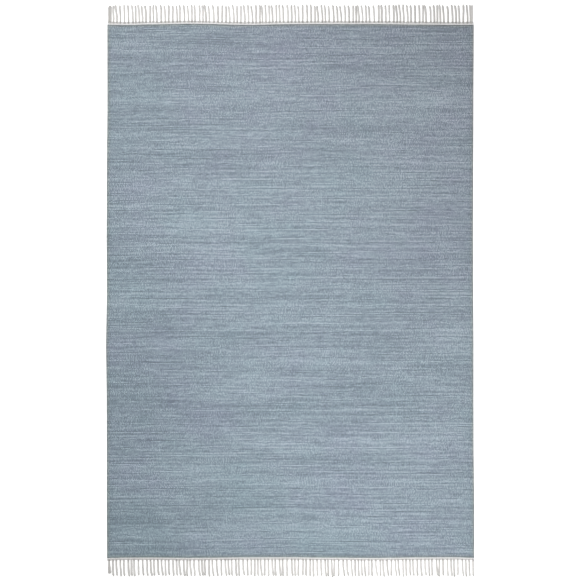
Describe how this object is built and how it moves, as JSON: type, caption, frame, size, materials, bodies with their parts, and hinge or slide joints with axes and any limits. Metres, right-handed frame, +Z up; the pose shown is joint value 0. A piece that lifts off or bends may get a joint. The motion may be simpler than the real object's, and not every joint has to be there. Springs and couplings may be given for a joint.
{
  "type": "flatweave rug",
  "caption": "Thin rectangular flatweave rug with rounded woven selvedges and a knotted cotton fringe along each short end.",
  "frame": {"origin": "middle of the rug's underside, halfway between the tips of the two fringes, on the floor", "axes": "+X across the width, towards the right of the picture; +Y along the length, towards the top of the picture; +Z up through the rug's thickness"},
  "size_m": [1.607, 2.493, 0.0091],
  "materials": {
    "wool": "matt weft-faced woven wool, mottled grey-blue",
    "cotton": "matt white cotton, twisted strands and knots"
  },
  "bodies": {
    "root": {"rug_cloth": "wool", "far_fringe": "cotton", "near_fringe": "cotton"}
  },
  "joints": []
}
